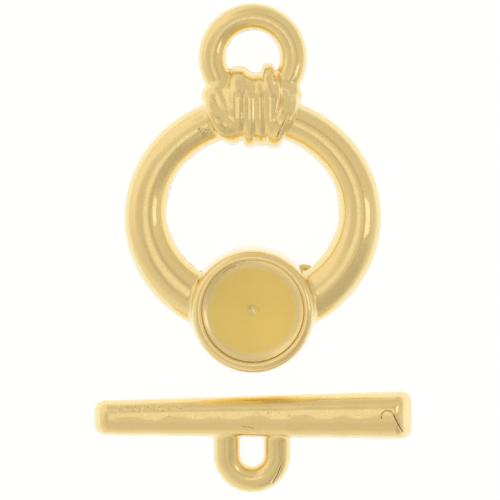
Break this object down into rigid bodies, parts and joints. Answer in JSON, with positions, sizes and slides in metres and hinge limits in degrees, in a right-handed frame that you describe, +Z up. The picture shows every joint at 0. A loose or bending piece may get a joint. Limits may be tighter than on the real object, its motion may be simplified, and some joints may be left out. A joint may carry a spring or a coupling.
{
  "type": "toggle clasp",
  "caption": "Toggle clasp for a bracelet or necklace: an oval ring with an eye, a wrapped collar and an open bezel cup, beside a tapered bar with its own loop.",
  "frame": {"origin": "centre of the whole part's footprint, on the surface that both castings lie on", "axes": "+X towards the bar's thick end, +Y from the bar's loop to the ring's eye, +Z up, out of the cup's mouth"},
  "size_m": [0.0228, 0.035, 0.0046],
  "materials": {
    "gold_plate": "polished pale gold plate on cast base metal"
  },
  "bodies": {
    "root": {"toggle_ring": "gold_plate", "toggle_bar": "gold_plate"}
  },
  "joints": []
}
